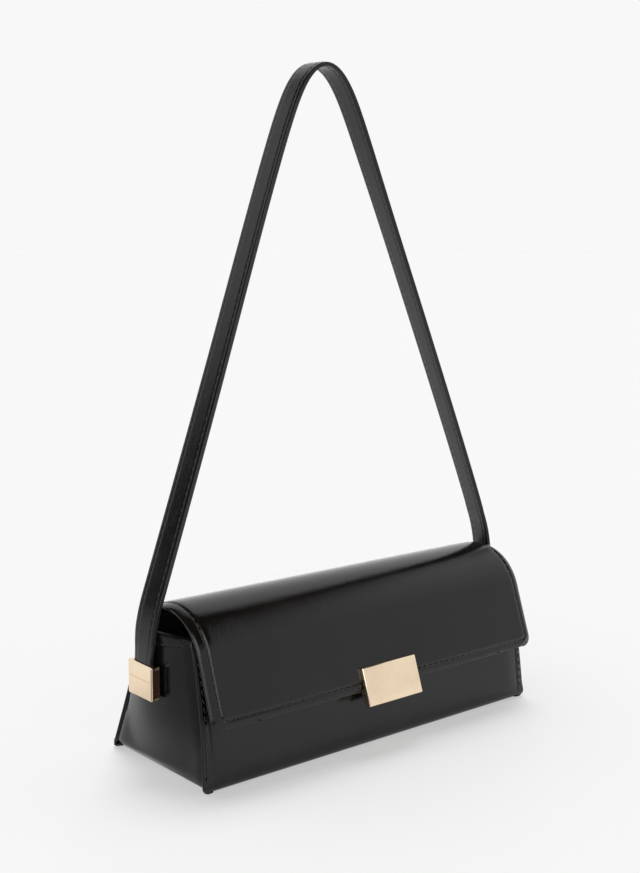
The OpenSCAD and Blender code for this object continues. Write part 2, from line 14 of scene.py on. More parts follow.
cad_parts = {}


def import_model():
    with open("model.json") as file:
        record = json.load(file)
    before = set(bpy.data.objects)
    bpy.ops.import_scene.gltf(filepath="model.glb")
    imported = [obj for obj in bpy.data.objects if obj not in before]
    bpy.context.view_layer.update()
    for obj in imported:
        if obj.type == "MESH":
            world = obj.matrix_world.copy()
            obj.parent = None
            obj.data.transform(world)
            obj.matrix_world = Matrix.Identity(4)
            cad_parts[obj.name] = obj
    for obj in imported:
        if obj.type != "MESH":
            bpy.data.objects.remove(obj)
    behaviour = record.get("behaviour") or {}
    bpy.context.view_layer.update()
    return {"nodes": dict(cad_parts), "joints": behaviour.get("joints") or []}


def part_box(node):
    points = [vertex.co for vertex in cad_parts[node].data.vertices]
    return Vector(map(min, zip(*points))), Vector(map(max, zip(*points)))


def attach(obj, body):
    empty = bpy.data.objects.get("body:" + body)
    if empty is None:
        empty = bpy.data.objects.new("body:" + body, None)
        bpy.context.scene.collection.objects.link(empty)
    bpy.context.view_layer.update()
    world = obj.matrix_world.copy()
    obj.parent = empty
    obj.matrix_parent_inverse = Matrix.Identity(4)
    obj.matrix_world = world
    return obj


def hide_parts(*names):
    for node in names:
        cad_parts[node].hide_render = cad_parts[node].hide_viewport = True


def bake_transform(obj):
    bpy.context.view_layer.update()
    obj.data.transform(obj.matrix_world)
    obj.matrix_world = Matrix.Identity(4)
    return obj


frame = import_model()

MM = 0.001


def cad_box(node):
    """Lowest and highest corner of a solid, in millimetres."""
    lo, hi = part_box(node)
    return np.array(lo) / MM, np.array(hi) / MM


def joint_place(name):
    """(y, z) of a joint's axis, in millimetres."""
    found = next(j for j in frame["joints"] if j["name"] == name)
    return np.array(found["pos_m"][1:]) / MM


# From the frame
PANEL_LO, PANEL_HI = cad_box("front_panel")
BLOCK_LO, BLOCK_HI = cad_box("left_block")
BASE_HI = cad_box("base_panel")[1]
FLAP_HALF = cad_box("flap_leather")[1][0]
HINGE = joint_place("flap_hinge")
PIVOT = joint_place("strap_swing")
HALF_L = PANEL_HI[0]
HALF_D = -PANEL_LO[1]
FRONT_H = PANEL_HI[2]
SEAM_X = BASE_HI[0] + BASE_HI[2]

# Body form
FRONT_INSET, FRONT_BOW = 13.0, 1.9
BACK_RATE = 0.385
BACK_SHORT = 2.2
WALL_T = 2.4
FLANGE_T = 1.1
FLANGE_EDGE = (4.2, 5.6)
FACING_T = 0.7
FACING_DOWN = (13, 11)
FOOT_R, FOOT_RUN, FOOT_IN = 3.0, 6.0, 1.6
FLANGE_CORNER_R, BACK_CORNER_R = 3.6, 1.6
FLARE, FLARE_H = 1.8, 50.0

# Body relief: a crease and a sewn groove (depth, width), and a full middle
CREASE_IN = 4.4
FLANGE_STITCH_IN = 2.0
CREASE = (0.60, 0.7)
SEWN = (0.30, 0.6)
EDGE_ROLL = 0.9
WALL_FULL, WALL_FULL_W = 0.9, 9.0
FOOT_FADE = (2, 10)
BACK_RELIEF = 0.8
WALL_WAVE = 0.22
TOP_ROLL, TOP_ROLL_H = 0.35, 3.2
TOP_STITCH_DOWN = 3.4

# Flap form
LEAN = math.radians(19.3)
PITCH = math.radians(16.7)
SHOULDER_Y = -10.845
SHOULDER_R = 33.8
ROOF_H = FRONT_H + 18.0
EDGE_Z = 38.4
FLAP_T = 3.0
FLAP_CORNER_R = 6.8
FOLD_R = 4.0
LAP, LAP_T = 13.0, 1.5
LAP_THICKENS = (8, 26)
LAP_STITCH_UP = 2.4

# Flap relief: a sewn groove, a full middle in two steps, a dropped margin
CORNER_STITCH_R = 3.2
FLAP_STITCH_IN = 5.5
FLAP_STITCH_UP = 4.3
GROOVE = (0.55, 0.65)
FULL_NEAR = (0.45, 0.1, 1.8)
FULL_FAR = (0.40, 0.5, 7.0)
MARGIN_DROP = 1.5
FLAP_ROLL, FLAP_ROLL_W = 0.25, 1.2
FLAP_WAVE = 0.26

# Gussets
GUSSET_T = 1.1
TURN_R = 2.4
BUMP_H, BUMP_UP, BUMP_POWER = 10.0, 50.0, 1.35
PAD_T = 2.6
PUFF = 1.3
REAR_FULL = 3.7
RIM_H, RIM_DIP = FRONT_H + 1.5, 0.2
RIM_W, RIM_TAPER = 7.4, 4.0
RIM_T, ROLL_T = 1.0, 0.7
RIM_STITCH_UP = 1.3
RIM_FIRST = 7
GUSSET_LEVELS = np.array([0, .4, .8, 1.3, 1.8, 2.4, 3.2, 4.2, 5.5, 7.2,
                          *np.linspace(9.5, RIM_H, 34)])

# Linings
CLOTH_T = 0.7
CLOTH_DOWN = 12.0
CLOTH_IN = 2.6
CLOTH_SLACK = 0.35
CLOTH_GAP = 0.15
FLAP_CLOTH_T = 0.6
FLAP_CLOTH_IN = 7.0

# Strap; each leg has its straight start, lean, bend radius, bow and the bow's skew
STRAP_W = 16.5
STRAP_T = 3.0
STRAP_TOP = (-12.6, 416.8)
STRAP_TOP_R = 15.1
STRAP_X = -(BLOCK_HI[0] + BLOCK_LO[0]) / 2
SLOT_Z = BLOCK_HI[2] - 7.0
LEFT_LEG = (10.0, 4.8, 109.0, 1.9, 2.95)
RIGHT_LEG = (18.0, 0.0, 84.0, 1.65, 0.65)
STRAP_EASE = 21.1
EASE_Z = (260, 320)
STRAP_EDGE_T, STRAP_EDGE_R = 2.5, 0.5
STRAP_STITCH_IN, STRAP_STITCH_DEEP = 2.9, 0.22
UNSEWN = 12
STRAP_GROOVE = (0.16, 0.45)
SEAM_GAP = 0.05

# How far the strap is turned about its length, in degrees, and the heights it changes at
LEFT_TURN, RIGHT_TURN, TOP_TURN = 10.0, 7.5, 2.0
LEFT_TURN_Z = (110, 350)
RIGHT_TURN_Z = (300, 400)
TURN_MIX = (0.46, 0.54)
TURN_START = 22

# Blocks and plate
SLOT_SIZE = (STRAP_T + 0.5, STRAP_W + 0.6, 14.0)
GROOVE_UP = 1.0
GROOVE_W, GROOVE_DEEP = 0.45, 0.8
BLOCK_R, BLOCK_SOFT = 0.9, 0.12
HOLLOW_OUT, HOLLOW_IN = 1.2, 0.7
HOLLOW_D, HOLLOW_END = 3.4, 1.8
FILL_IN = 0.5
PLATE_SIZE = (43.4, 23.4, 3.2)
PLATE_RISE = 2.0

# Thread; the styles are thickness and slant
PITCH_MM = 4.9
STITCH_L, STITCH_W, STITCH_H = 3.2, 0.55, 0.40
STITCH_END, STITCH_SINK, STITCH_PROUD = 0.12, 0.30, 0.10
STITCH_TURNS, STITCH_RINGS = 8, 7
SEAM_STYLE = (1.35, 0.2)
FLAP_STYLE = (1.4, 0.2)
STRAP_STYLE = (1.05, 0.06)
SEWN_UP = 0.02
FLESH_DOWN = 2.25

# Mesh steps
ARC_STEPS = 8
EDGE_STEPS, EDGE_DOME = 5, 0.55
STAYS = 100
SWEEP_SHARP, METAL_SHARP = 40, 32

# Camera
CAM_AZ, CAM_EL, CAM_ROLL = -40.11, 8.31, 0.43
CAM_SIDE, CAM_RISE, CAM_DIST = -6.18, 181.4, 848.94
LENS, SENSOR = 54.46, 36.0

# Studio
BACKDROP = (0.938,) * 3
FLOOR_SIZE, FLOOR_Z = 40.0, -0.0003
FLOOR_COLOUR = (0.86,) * 3
FLOOR_SHADE, FLOOR_GLOW = 0.464, 0.466
SUN_FROM = (0.75, 0.80, 2.8)
SUN_LEVEL, SUN_SPREAD = 1.72, 31

# Floor corner with painted shade that only gloss sees: where it starts at the left (m) and its
# ramps
CORNER_X = -0.13
CORNER_SLOPE = 0.45
CORNER_SIDE = (0.0, 0.06)
CORNER_BACK = (-0.05, 0.10)
CORNER_PAINTED_SHADE = 0.65

# Light by direction: degrees up from behind (0) over the top to the front (180)
GAP_START = (73.0, 80.0)
GAP_END = (116.0, 134.0)
GAP_LEVEL = 0.02
GAP_LEFT = (-0.20, 0.15)
GAP_LEFT_LOW = 36.0
ASIDE = (0.5, 0.76)
START_ASIDE, START_SPREAD = 0.64, 280.0
END_ASIDE, END_SPREAD = 0.556, 350.0
FRONT_TURN = (110.0, 160.0)
FRONT_LIGHT = (1.08, 0.90)
WINDOW = (-0.702, -0.551, 0.451)
WINDOW_EDGE = (0.89, 0.95)
WINDOW_LEVEL = 2.8


# ---- small maths ----

def unit(v):
    v = np.asarray(v, float)
    return v / np.maximum(np.linalg.norm(v, axis=-1, keepdims=True), 1e-12)


def cross(a, b):
    return a[0] * b[1] - a[1] * b[0]


def smooth(a, b, x):
    """0 below a, 1 above b, and smooth between."""
    t = np.clip((np.asarray(x, float) - a) / (b - a), 0, 1)
    return t * t * (3 - 2 * t)


def dent(x, mid, width):
    """A bell of height 1 at mid."""
    return np.exp(-(((np.asarray(x, float) - mid) / width) ** 2))


def lengths(p):
    """How far along a line of points each one lies."""
    return np.concatenate([[0], np.cumsum(np.linalg.norm(np.diff(p, axis=0), axis=1))])


def along(q, s, values):
    """Rows of values known at lengths s, read at q."""
    return np.stack([np.interp(q, s, v) for v in values.T], -1)


def front_y(z):
    t = np.asarray(z, float) / FRONT_H
    low = -HALF_D + FRONT_INSET * t - 4 * FRONT_BOW * t * (1 - t)
    rate = (FRONT_INSET + 4 * FRONT_BOW) / FRONT_H
    high = -HALF_D + FRONT_INSET + (np.asarray(z, float) - FRONT_H) * rate
    return np.where(t > 1, high, low)


def back_y(z):
    return HALF_D - BACK_RATE * np.asarray(z, float)


BACK_UP = unit([-BACK_RATE, 1])
BACK_OUT = unit([1, BACK_RATE])
BACK_K = math.hypot(1, BACK_RATE)
ROOF_UP = np.array([math.sin(PITCH), math.cos(PITCH)])
FACE_UP = np.array([math.sin(LEAN), math.cos(LEAN)])
FACE_OUT = np.array([-math.cos(LEAN), math.sin(LEAN)])
SHOULDER = np.array([SHOULDER_Y, ROOF_H - SHOULDER_R])
FACE_TOP = SHOULDER + SHOULDER_R * FACE_OUT
FLAP_EDGE = np.array([FACE_TOP[0] - (FACE_TOP[1] - EDGE_Z) * math.tan(LEAN), EDGE_Z])


def rounded(prev, corner, after, r):
    """Points of an arc of radius r that rounds a corner."""
    a, b = unit(np.subtract(prev, corner)), unit(np.subtract(after, corner))
    half = math.acos(np.clip(a @ b, -1, 1)) / 2
    centre = corner + unit(a + b) * r / math.sin(half)
    p, q = (corner + v * r / math.tan(half) - centre for v in (a, b))
    turn = math.atan2(cross(p, q), p @ q)
    out = []
    for k in range(ARC_STEPS + 1):
        c, s = math.cos(turn * k / ARC_STEPS), math.sin(turn * k / ARC_STEPS)
        out.append(centre + np.array([p[0] * c - p[1] * s, p[0] * s + p[1] * c]))
    return out


class Line:
    """A flat line that gives points and side normals by length along it."""

    def __init__(self, pts, left_normal=False):
        self.p = np.array(pts, float)
        self.s = lengths(self.p)
        d = unit(np.diff(self.p, axis=0))
        tangent = unit(np.vstack([d[:1], unit(d[:-1] + d[1:]), d[-1:]]))
        side = np.stack([-tangent[:, 1], tangent[:, 0]], 1)
        self.n = side if left_normal else -side
        self.length = self.s[-1]

    def point(self, s):
        return along(s, self.s, self.p)

    def normal(self, s):
        return unit(along(s, self.s, self.n))


def off(x, at, normal, d):
    """Points at x, a distance d along the normal from a (y, z) point."""
    return np.stack([x, at[0] + normal[0] * d + 0 * x, at[1] + normal[1] * d + 0 * x], -1)


def from_edge(marks, half, step):
    """Positions from -half to half, close together near both ends."""
    near = [m for m in marks if m < half]
    count = max(2, round(2 * (half - near[-1]) / step))
    inner = np.linspace(-half + near[-1], half - near[-1], count + 1)[1:-1]
    return np.array([-half + m for m in near] + list(inner) + [half - m for m in near[::-1]])


def narrowed(xs, less):
    """The same positions, with those near both ends moved in."""
    return np.where(np.abs(xs) > STAYS, np.sign(xs) * (np.abs(xs) - less), xs)


# ---- mesh helpers ----

def given(thing, **values):
    """A thing with these attributes set."""
    for key, value in values.items():
        setattr(thing, key, value)
    return thing


def linked(name, data):
    """An object in the scene."""
    obj = bpy.data.objects.new(name, data)
    bpy.context.scene.collection.objects.link(obj)
    return obj


def shade(mesh, angle=None):
    """Smooth shading, apart from edges sharper than an angle."""
    mesh.polygons.foreach_set("use_smooth", [True] * len(mesh.polygons))
    if angle is not None:
        mesh.set_sharp_from_angle(angle=math.radians(angle))


def make_mesh(name, verts, faces, angle=None):
    """A mesh object from points in millimetres."""
    mesh = bpy.data.meshes.new(name)
    points = (np.asarray(verts, float) * MM).tolist()
    mesh.from_pydata(points, [], [list(map(int, f)) for f in faces])
    mesh.validate()
    mesh.update()
    shade(mesh, angle)
    return linked(name, mesh)


def tidy_normals(obj):
    """Turns every face outward."""
    bm = bmesh.new()
    bm.from_mesh(obj.data)
    bmesh.ops.recalc_face_normals(bm, faces=bm.faces)
    bm.to_mesh(obj.data)
    bm.free()
    return obj


def grid_quads(rows, cols, start=0, flip=False, wrap=False):
    out = []
    for i in range(rows - 1):
        for j in range(cols if wrap else cols - 1):
            k = (j + 1) % cols
            at = start + i * cols
            a, b, c, d = at + j, at + k, at + cols + k, at + cols + j
            out.append((a, d, c, b) if flip else (a, b, c, d))
    return out


def tube_faces(rows, cols, start=0):
    """A wrapped grid's faces, with both ends closed."""
    last = start + (rows - 1) * cols
    ends = [tuple(range(start, start + cols))[::-1], tuple(range(last, last + cols))]
    return grid_quads(rows, cols, start, wrap=True) + ends


def perimeter(rows, cols):
    out = [(0, j) for j in range(cols)]
    out += [(i, cols - 1) for i in range(1, rows)]
    out += [(rows - 1, j) for j in range(cols - 2, -1, -1)]
    out += [(i, 0) for i in range(rows - 2, 0, -1)]
    return out


def edge_direction(p, i, j):
    """The way out of a grid of points at one point of its edge."""
    rows, cols = p.shape[:2]
    d = np.zeros(3)
    for at, last, di, dj in ((i, rows - 1, 1, 0), (j, cols - 1, 0, 1)):
        k = 1 if at == 0 else -1 if at == last else 0
        if k:
            d = d + unit(p[i, j] - p[i + k * di, j + k * dj])
    return unit(d)


def thick_sheet(name, outer, inner):
    """A closed sheet between two grids of points, with a domed, painted edge."""
    rows, cols = outer.shape[:2]
    n = rows * cols
    ring = perimeter(rows, cols)
    m = len(ring)
    mid, half = (outer + inner) / 2, (outer - inner) / 2
    ways = [edge_direction(outer, i, j) for i, j in ring]
    verts = [outer.reshape(-1, 3), inner.reshape(-1, 3)]
    loops = [[i * cols + j for i, j in ring]]
    for k in range(1, EDGE_STEPS):
        a = math.pi * k / EDGE_STEPS
        verts.append(np.array([mid[i, j] + half[i, j] * math.cos(a)
                               + way * np.linalg.norm(half[i, j]) * EDGE_DOME * math.sin(a)
                               for (i, j), way in zip(ring, ways)]))
        loops.append(list(range(2 * n + (k - 1) * m, 2 * n + k * m)))
    loops.append([n + i * cols + j for i, j in ring])
    faces = grid_quads(rows, cols) + grid_quads(rows, cols, n, flip=True)
    for a, b in zip(loops, loops[1:]):
        for k in range(m):
            q = (k + 1) % m
            faces.append((a[q], a[k], b[k], b[q]))
    return make_mesh(name, np.vstack(verts), faces)


def sweep(name, rings):
    """A capped solid through closed rings of points."""
    rings = np.array(rings, float)
    faces = tube_faces(*rings.shape[:2])
    return tidy_normals(make_mesh(name, rings.reshape(-1, 3), faces, SWEEP_SHARP))


def stitch_row(points, normals, thick, slant):
    """Verts and faces of one row of sewn stitches along a line of points."""
    p, nrm = np.asarray(points, float), unit(normals)
    s = lengths(p)
    count = int(s[-1] / PITCH_MM)
    spare = (s[-1] - count * PITCH_MM) / 2
    verts, faces = [], []
    for k in range(count):
        c = spare + (k + 0.5) * PITCH_MM
        mid, up = along(c, s, p), unit(along(c, s, nrm))
        ahead = unit(along(c + STITCH_L / 2, s, p) - along(c - STITCH_L / 2, s, p))
        side = unit(np.cross(up, ahead))
        ahead = unit(ahead + side * slant)
        base = len(verts)
        for i in range(STITCH_RINGS):
            t = -1 + 2 * i / (STITCH_RINGS - 1)
            inside = 0 < i < STITCH_RINGS - 1
            r = math.sqrt(max(0.0, 1 - abs(t) ** 3)) if inside else STITCH_END
            for g in 2 * math.pi * np.arange(STITCH_TURNS) / STITCH_TURNS:
                lift = math.sin(g) * STITCH_H * thick / 2 * r + STITCH_PROUD
                verts.append(mid + ahead * t * STITCH_L / 2
                             + side * math.cos(g) * STITCH_W * thick / 2 * r
                             + up * (lift - STITCH_SINK * abs(t) ** 2))
        faces += tube_faces(STITCH_RINGS, STITCH_TURNS, base)
    return verts, faces


def stitches(name, rows, thick=1.0, slant=0.10):
    """One object of several rows of stitches, each (points, normals)."""
    verts, faces = [], []
    for points, normals in rows:
        v, f = stitch_row(points, normals, thick, slant)
        faces += [tuple(k + len(verts) for k in g) for g in f]
        verts += v
    return tidy_normals(make_mesh(name, verts, faces))


# ---- body shell ----

def body_line():
    """The body's outer line, from the front's top edge under the base to the back's top."""
    foot_f = np.array([float(front_y(0)), 0.0])
    foot_b = np.array([float(back_y(0)), 0.0])
    low = FOOT_R + FOOT_RUN
    pts = [(float(front_y(z)), z) for z in np.linspace(FRONT_H, low, 34)]
    pts += rounded(np.array(pts[-1]), foot_f, foot_b, FOOT_R)
    pts += [(y, 0.0) for y in np.linspace(foot_f[0] + 7, foot_b[0] - 7, 14)]
    pts += rounded(foot_f, foot_b, np.array([float(back_y(20)), 20.0]), FOOT_R)
    pts += [(float(back_y(z)), z) for z in np.linspace(low, HINGE[1] - BACK_SHORT, 30)]
    return Line(pts)


def flare(z):
    """The seams spread a little towards the base."""
    return FLARE * np.clip(1 - np.asarray(z, float) / FLARE_H, 0, 1) ** 1.5


def flange_reach(z, wall):
    """How far from the middle the front (-1) or back (1) wall reaches at a height."""
    r = FLANGE_CORNER_R if wall < 0 else BACK_CORNER_R
    h = np.clip(np.asarray(z, float), 0, r)
    return HALF_L + flare(z) - (r - np.sqrt(r * r - (r - h) ** 2))


def wall_relief(edge, z):
    """Crease beside the seam and the soft fullness of the wall inside it."""
    crease = -CREASE[0] * dent(edge, CREASE_IN, CREASE[1])
    sewn = -SEWN[0] * dent(edge, FLANGE_STITCH_IN, SEWN[1])
    roll = -EDGE_ROLL * smooth(FLANGE_STITCH_IN, 0, edge)
    full = WALL_FULL * smooth(CREASE_IN, CREASE_IN + WALL_FULL_W, edge)
    return smooth(*FOOT_FADE, z) * (crease + sewn + roll + full)


def wall_grids():
    """Grain and flesh points of the walls and base."""
    line = body_line()
    s = np.concatenate([np.arange(0, line.length, 2.4), [line.length]])
    marks = [0, .35, .8, 1.5, 2.3, 3, 3.5, 3.9, 4.2, 4.4, 4.6, 4.9, 5.3, 5.9, 6.8, 8, 10, 12.5, 16]
    xs = from_edge(marks, HALF_L, 4.0)
    least = SEAM_X - FOOT_IN
    outer, inner = [], []
    for at, n in zip(line.point(s), line.normal(s)):
        y, z = at
        front = y < 0
        reach = max(float(flange_reach(z, np.sign(y))), least) if z > 0.01 else least
        x = narrowed(xs, HALF_L - reach)
        edge = reach - np.abs(x)
        flat = edge + (HALF_L - reach)
        lift = wall_relief(flat, z) * (1 if front else BACK_RELIEF)
        wave = WALL_WAVE * np.sin(x / 31.0 + z / 23.0) * smooth(14, 40, edge) * smooth(5, 25, z)
        top = TOP_ROLL * smooth(TOP_ROLL_H, 0, FRONT_H - z) if front else 0
        facing = smooth(*(FRONT_H - k for k in FACING_DOWN), z) if front else 0
        thick = FLANGE_T + (WALL_T - FLANGE_T + FACING_T * facing) * smooth(*FLANGE_EDGE, flat)
        outer.append(off(x, at, n, lift + wave - top))
        inner.append(off(x, at, n, -thick))
    return np.array(outer), np.array(inner)


def body_shell():
    """The walls' leather. Its faces point inward: tidy_normals isn't run on it."""
    obj = thick_sheet("body_shell", *wall_grids())
    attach(obj, "bag")
    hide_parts("front_panel", "back_panel", "base_panel",
                "front_board", "back_board", "base_board")
    return obj


def body_stitches():
    """Stitches of the side seams, on both faces, and of the front's top edge."""
    rows = []
    for side in (-1, 1):
        for wall in (-1, 1):
            z = np.linspace(4.0, FRONT_H - 2 if wall < 0 else HINGE[1] - 5, 60)
            y = front_y(z) if wall < 0 else back_y(z)
            n = np.stack([0 * z, 0 * z + wall, -wall * np.gradient(y, z)], -1)
            at = np.stack([side * (flange_reach(z, wall) - FLANGE_STITCH_IN), y, z], -1)
            rows.append((at + unit(n) * SEWN_UP, n))
            rows.append((at - unit(n) * FLESH_DOWN, -n))
    x = np.linspace(-SEAM_X + 6, SEAM_X - 6, 80)
    z = FRONT_H - TOP_STITCH_DOWN
    rows.append((np.stack([x, 0 * x + float(front_y(z)) - 0.75, 0 * x + z], -1),
                 np.tile([0, -1, 0.3], (len(x), 1))))
    thread = stitches("body_stitches", rows, *SEAM_STYLE)
    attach(thread, "bag")
    return thread


# ---- gussets ----

def off_middle(y, z):
    """0 at a gusset's middle and 1 at either wall."""
    return np.abs(y) / np.where(np.asarray(y) < 0, -front_y(z), back_y(z))


def bump(y, z):
    """How full a gusset is, 1 at the strap's pivot and 0 at its edges."""
    ty = off_middle(y, z)
    tz = np.where(z < PIVOT[1], (PIVOT[1] - z) / PIVOT[1], (z - PIVOT[1]) / BUMP_UP)
    return (1 - np.clip(ty * ty + tz * tz, 0, 1)) ** BUMP_POWER


def gusset_end(wall, z, w, base_x):
    """Where a gusset turns out along a wall: grain, flesh and its face's x."""
    wall_y = (float(front_y(z)) + GUSSET_T if wall < 0
              else float(back_y(z)) - GUSSET_T * BACK_K)
    face = base_x + (REAR_FULL * float(smooth(0, 6, w)) if wall > 0 else 0)
    tip = max(float(flange_reach(z, wall)), face + 0.8)
    r = min(0.9, (tip - face) * 0.7)
    grain, flesh = [], []
    for t in np.linspace(0, 1, 5):
        x = tip + (face + r - tip) * t
        grain.append((x, wall_y - wall * GUSSET_T))
        flesh.append((x, wall_y))
    for a in np.linspace(0, math.pi / 2, 7)[1:]:
        for pts, k in ((grain, r), (flesh, r + GUSSET_T)):
            pts.append((face + r - k * math.sin(a),
                        wall_y - wall * (GUSSET_T + r - k * math.cos(a))))
    return grain, flesh, face


def gusset_level(w, side):
    """Grain and flesh points of one level of a gusset, front to back."""
    base_x, z = SEAM_X + float(flare(w)), w
    if w < TURN_R:
        a = math.pi / 2 * (TURN_R - w) / TURN_R
        base_x -= TURN_R * (1 - math.cos(a))
        z = TURN_R - TURN_R * math.sin(a)
    (g0, f0, face0), (g1, f1, face1) = (gusset_end(k, z, w, base_x) for k in (-1, 1))
    ya, yc = g0[-1][1], g1[-1][1]
    marks = [0.6, 1.4, 2.4, 3.8, 5.5, 8]
    y = np.array([ya + m for m in marks]
                 + list(np.linspace(ya + marks[-1], yc - marks[-1], 24)[1:-1])
                 + [yc - m for m in marks[::-1]])
    puff = PUFF * smooth(0, 9, y - ya) * smooth(-1.5, 6, yc - y) * smooth(0, 7, w)
    lean = face0 + (face1 - face0) * smooth(0.1, 1.0, (y - ya) / (yc - ya))
    full = bump(y, z) * smooth(0, TURN_R * 2, w)
    rise = (BUMP_H - PUFF - 0.5 * (face1 - face0)) * full
    grain = g0 + list(zip(lean + rise + puff, y)) + g1[::-1]
    inset = lean - GUSSET_T * 0.9 + rise * (1 - PAD_T / BUMP_H)
    flesh = f0 + list(zip(inset, y)) + f1[::-1]
    return [np.array([(side * x, y, z) for x, y in pts], float) for pts in (grain, flesh)]


def gusset_grids(side):
    """Grain and flesh points of a gusset, whose rim dips a little in its middle."""
    outs, inns = [], []
    for w in GUSSET_LEVELS:
        for g, into in zip(gusset_level(w, side), (outs, inns)):
            t = np.clip(off_middle(g[:, 1], w), 0, 1)
            g[:, 2] -= RIM_DIP * (1 - t * t) * smooth(RIM_H - 30, RIM_H, w)
            into.append(g)
    return np.array(outs), np.array(inns)


def gusset(side, label):
    outer, inner = gusset_grids(side)
    obj = tidy_normals(thick_sheet(label + "_gusset_shell", outer, inner))
    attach(obj, "bag")
    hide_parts(label + "_gusset", label + "_gusset_pad")
    return obj, outer, inner


def rim_ring(outer, inner, j):
    """One ring of the strip folded over a gusset's top edge, and its stitch points."""
    top_o, top_i = outer[-1, j], inner[-1, j]
    down = RIM_W - RIM_TAPER * min(1.0, off_middle(top_o[1], RIM_H)) ** 1.4
    n, up = unit(top_o - top_i), np.array([0, 0, 1.0])

    def at(grid, dz, lift=0):
        return along(RIM_H - dz, GUSSET_LEVELS, grid[:, j]) + n * lift

    folds = ((down, -0.1), (down - 0.15, 0.55), (down - 0.6, RIM_T), (down - 1.6, RIM_T - 0.1),
             (down * 0.62, RIM_T + 0.1), (down * 0.36, RIM_T + 0.55 * ROLL_T),
             (1.0, RIM_T + ROLL_T))
    half = np.linalg.norm(top_o - top_i) / 2 + RIM_T + ROLL_T
    ring = [at(outer, dz, lift) for dz, lift in folds]
    for k in range(1, 10):
        a = math.pi * k / 10
        ring.append((top_o + top_i) / 2 - up * 0.8 + n * half * math.cos(a)
                    + up * (half * 0.62) * math.sin(a))
    ring += [at(inner, dz, -lift) for dz, lift in folds[::-1]]
    ring += [at(inner, dz, 0.15) for dz in (down - 0.4, 1.0)]
    ring.append((at(outer, 0.6) + at(inner, 0.6)) / 2)
    ring += [at(outer, dz, -0.15) for dz in (1.0, down - 0.4)]
    seam = [(at(grid, down - RIM_STITCH_UP, k * (RIM_T + 0.03)), k * n)
            for grid, k in ((outer, 1), (inner, -1))]
    return ring, seam


def rim_binding(label, outer, inner):
    """The strip sewn over a gusset's top edge, with its stitches."""
    columns = range(RIM_FIRST, outer.shape[1] - RIM_FIRST)
    rings, seams = zip(*(rim_ring(outer, inner, j) for j in columns))
    obj = sweep(label + "_rim", rings)
    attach(obj, "bag")
    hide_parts(label + "_rim_binding")
    rows = [tuple(np.array(v) for v in zip(*seam)) for seam in zip(*seams)]
    thread = stitches(label + "_rim_stitches", rows)
    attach(thread, "bag")
    return obj, thread


# ---- linings ----

def body_lining():
    """The lining of the walls and base, one cloth hung inside the shell."""
    line = body_line()
    s = np.linspace(CLOTH_DOWN, line.length - 2.0, 60)
    xs = np.linspace(-(SEAM_X - CLOTH_IN), SEAM_X - CLOTH_IN, 66)
    grain, flesh = [], []
    for at, n in zip(line.point(s), line.normal(s)):
        z = at[1]
        slack = CLOTH_SLACK * np.sin(xs / 9.0 + 2.0 * math.sin(z / 17.0))
        slack = slack * smooth(6, 20, SEAM_X - np.abs(xs)) * smooth(0, 14, FRONT_H - z) - 0.1
        d = WALL_T + 0.1 - np.minimum(slack, 0.25) + 0.25
        grain.append(off(xs, at, n, -(d + CLOTH_T)))
        flesh.append(off(xs, at, n, -d))
    grain = np.array(grain)
    obj = tidy_normals(thick_sheet("body_cloth", grain, np.array(flesh)))
    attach(obj, "bag")
    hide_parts("front_lining", "back_lining", "base_lining")
    return obj


def gusset_lining(side, label, inner):
    base = inner[5:-3, 9:-9]
    away = np.array([-side, 0.0, 0.0])
    grain = base + away * (CLOTH_GAP + CLOTH_T)
    obj = tidy_normals(thick_sheet(label + "_cloth", grain, base + away * CLOTH_GAP))
    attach(obj, "bag")
    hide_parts(label + "_gusset_lining")
    return obj


# ---- flap ----

def flap_line():
    """The flap's outer line, from its lap on the back over the roof to its front edge."""
    fold = HINGE + BACK_OUT * LAP_T
    roof_end = SHOULDER + SHOULDER_R * ROOF_UP
    roof_dir = unit(roof_end - HINGE)
    corner = fold + BACK_UP * (cross(roof_end - fold, roof_dir) / cross(BACK_UP, roof_dir))
    low = corner - BACK_UP * LAP
    pts = [low + BACK_UP * k for k in np.linspace(0, LAP - 3.0, 10)]
    pts += rounded(low, corner, roof_end, FOLD_R)
    pts += [pts[-1] + (roof_end - pts[-1]) * k for k in np.linspace(0.12, 0.9, 7)]
    pts += [SHOULDER + SHOULDER_R * np.array([math.cos(a), math.sin(a)])
            for a in np.linspace(math.pi / 2 - PITCH, math.pi - LEAN, 34)]
    pts += [pts[-1] + (FLAP_EDGE - pts[-1]) * k for k in np.linspace(0.06, 1, 20)]
    return Line(pts)


def flap_reach(h):
    """How far from the middle the flap reaches at a length h above its lower edge."""
    h, r = np.clip(h, 0, FLAP_CORNER_R), FLAP_CORNER_R
    return FLAP_HALF - (r - np.sqrt(np.maximum(r * r - (r - h) ** 2, 0)))


def flap_thick(s):
    lo, hi = LAP_THICKENS
    return LAP_T + (FLAP_T - LAP_T) * smooth(LAP + lo, LAP + hi, s)


def flap_relief(edge, h, s):
    """Sewn groove near the edges, and the soft fullness inside it."""
    side, low, r = edge - FLAP_STITCH_IN, h - FLAP_STITCH_UP, CORNER_STITCH_R
    corner = r - np.hypot(np.maximum(r - side, 0), np.maximum(r - low, 0))
    corner = np.minimum(np.minimum(side, low), corner)
    groove = -GROOVE[0] * dent(corner, 0, GROOVE[1])
    full = sum(k * smooth(a, b, corner) for k, a, b in (FULL_NEAR, FULL_FAR))
    margin = -MARGIN_DROP * np.clip(-corner / FLAP_STITCH_IN, 0, 1) ** 1.8
    soft = -FLAP_ROLL * smooth(FLAP_ROLL_W, 0, np.minimum(edge, h))
    return (groove + full + margin) * smooth(8, 18, s) + soft


